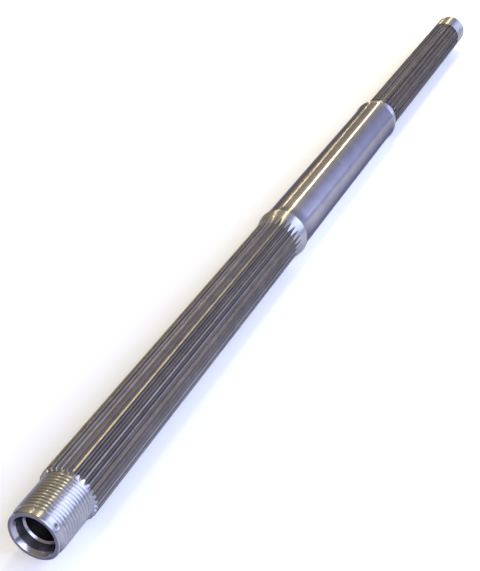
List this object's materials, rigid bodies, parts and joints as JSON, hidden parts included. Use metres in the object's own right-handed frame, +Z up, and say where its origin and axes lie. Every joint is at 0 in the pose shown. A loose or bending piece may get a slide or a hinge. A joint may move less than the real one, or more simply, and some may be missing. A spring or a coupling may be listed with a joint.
{
  "type": "splined shaft",
  "caption": "Hollow steel drive shaft with an external thread, two long involute splines of different size, and a ground body between two raised collars.",
  "frame": {"origin": "on the shaft's axis at mid-length", "axes": "+X along the shaft from its threaded end to its plain end, +Z up"},
  "size_m": [1.188, 0.0544, 0.0544],
  "materials": {
    "steel": "alloy steel: hobbed splines dark and lightly oiled, body and collars ground and polished, thread and ends turned bright"
  },
  "bodies": {
    "root": {"splined_shaft": "steel"}
  },
  "joints": []
}
